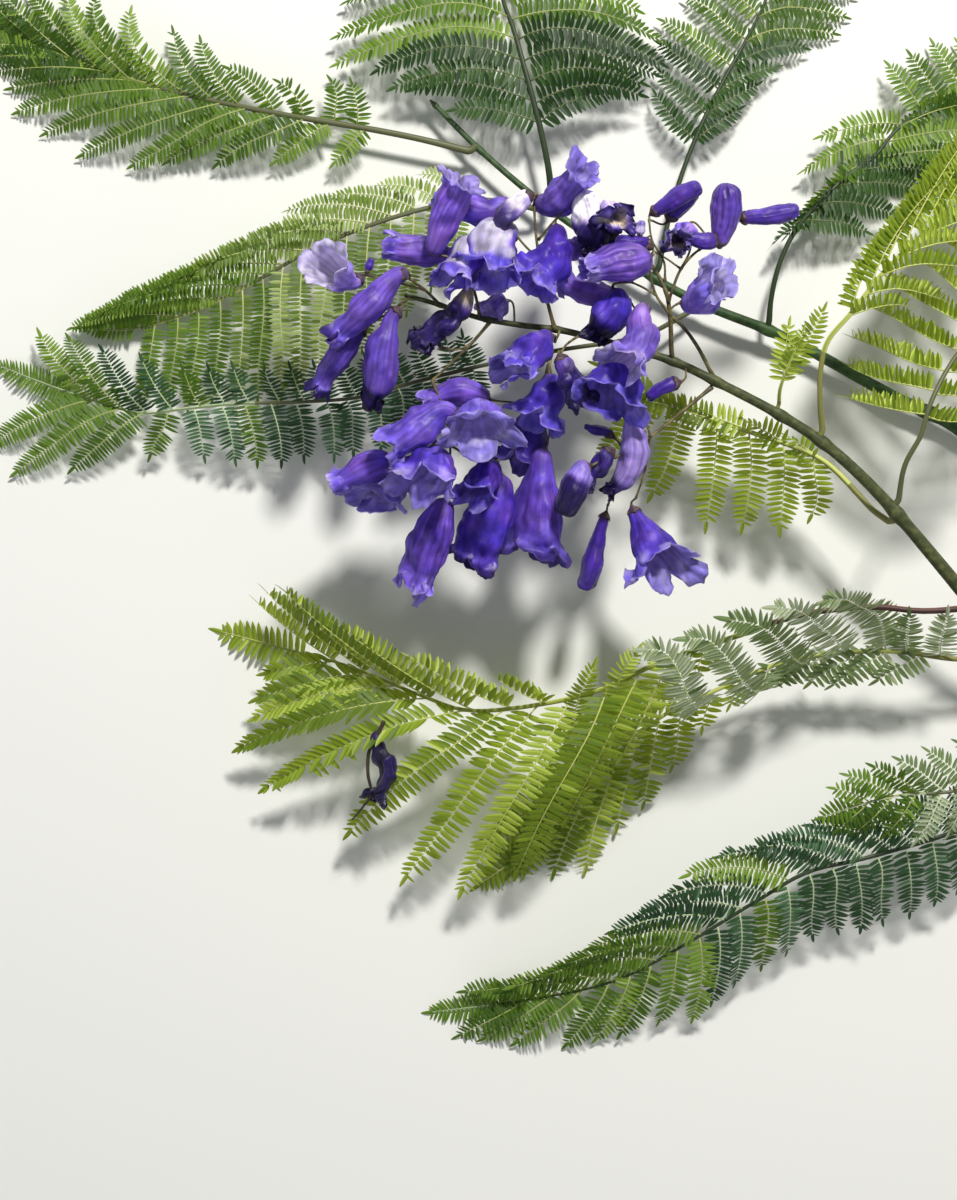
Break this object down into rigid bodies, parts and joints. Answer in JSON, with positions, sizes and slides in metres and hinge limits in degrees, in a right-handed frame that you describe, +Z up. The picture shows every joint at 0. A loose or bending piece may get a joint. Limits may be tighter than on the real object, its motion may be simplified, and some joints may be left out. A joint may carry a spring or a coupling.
{
  "type": "cut jacaranda flowering branch",
  "caption": "Cut jacaranda branch lying flat: a woody stub forks into a shoot with a panicle of blue violet trumpet flowers and a leafy shoot, with long feathery leaves.",
  "frame": {"origin": "under the middle of the branch's box, on the surface it lies on", "axes": "+Z up from that surface; +X along the longer side of its box, towards the cut end; +Y towards the leaves at the far side, away from the cut end"},
  "size_m": [0.532, 0.4962, 0.0974],
  "materials": {
    "cut_wood": "grey brown bark, pale at the cut",
    "green_stem": "young ribbed green bark, tinged brown",
    "leaf_bright": "yellow green leaflets, softly glossy, lit through",
    "leaf_green": "mid green leaflets",
    "leaf_dark": "dark blue green leaflets with pale ribs",
    "corolla": "blue violet petals, matt, striped along the tube, pale throat",
    "corolla_bud": "closed violet buds, darker, finely downy",
    "corolla_withered": "withered indigo petals, wrinkled"
  },
  "bodies": {
    "root": {"cut_stub": "cut_wood", "flowering_shoot": "green_stem", "leafy_shoot": "green_stem", "panicle_spur": "green_stem", "leaf_middle_long": "leaf_bright", "leaf_middle_under": "leaf_bright", "leaf_lower_long": "leaf_green", "leaf_lower_short": "leaf_green", "leaf_bright_upper": "leaf_bright", "leaf_right_edge": "leaf_bright", "leaf_under_panicle": "leaf_bright", "leaf_young": "leaf_bright", "leaf_rear_left": "leaf_green", "leaf_mid_left": "leaf_green", "leaf_dark_left": "leaf_dark", "leaf_rear_top": "leaf_green", "leaf_rear_mid": "leaf_green", "leaf_rear_right": "leaf_green", "bloom_01": "corolla", "bloom_02": "corolla", "bloom_03": "corolla", "bloom_04": "corolla", "bloom_05": "corolla", "bloom_06": "corolla", "bloom_07": "corolla", "bloom_08": "corolla", "bloom_09": "corolla", "bloom_10": "corolla_withered", "bloom_11": "corolla_withered", "bloom_12": "corolla", "bloom_13": "corolla_withered", "bloom_14": "corolla", "bloom_15": "corolla", "bloom_16": "corolla", "bloom_17": "corolla", "bloom_18": "corolla_bud", "bloom_19": "corolla_withered", "bloom_20": "corolla_bud", "bloom_21": "corolla_bud", "bloom_22": "corolla", "bloom_23": "corolla", "bloom_24": "corolla", "bloom_25": "corolla", "bloom_26": "corolla_withered", "bloom_27": "corolla", "bloom_28": "corolla", "bloom_29": "corolla", "bloom_30": "corolla", "bloom_31": "corolla", "bloom_32": "corolla", "bloom_33": "corolla", "bloom_34": "corolla", "bloom_35": "corolla", "bloom_36": "corolla", "bloom_37": "corolla", "bloom_38": "corolla_bud", "bloom_39": "corolla", "bloom_40": "corolla_bud", "bloom_41": "corolla", "bloom_withered": "corolla_withered"}
  },
  "joints": []
}
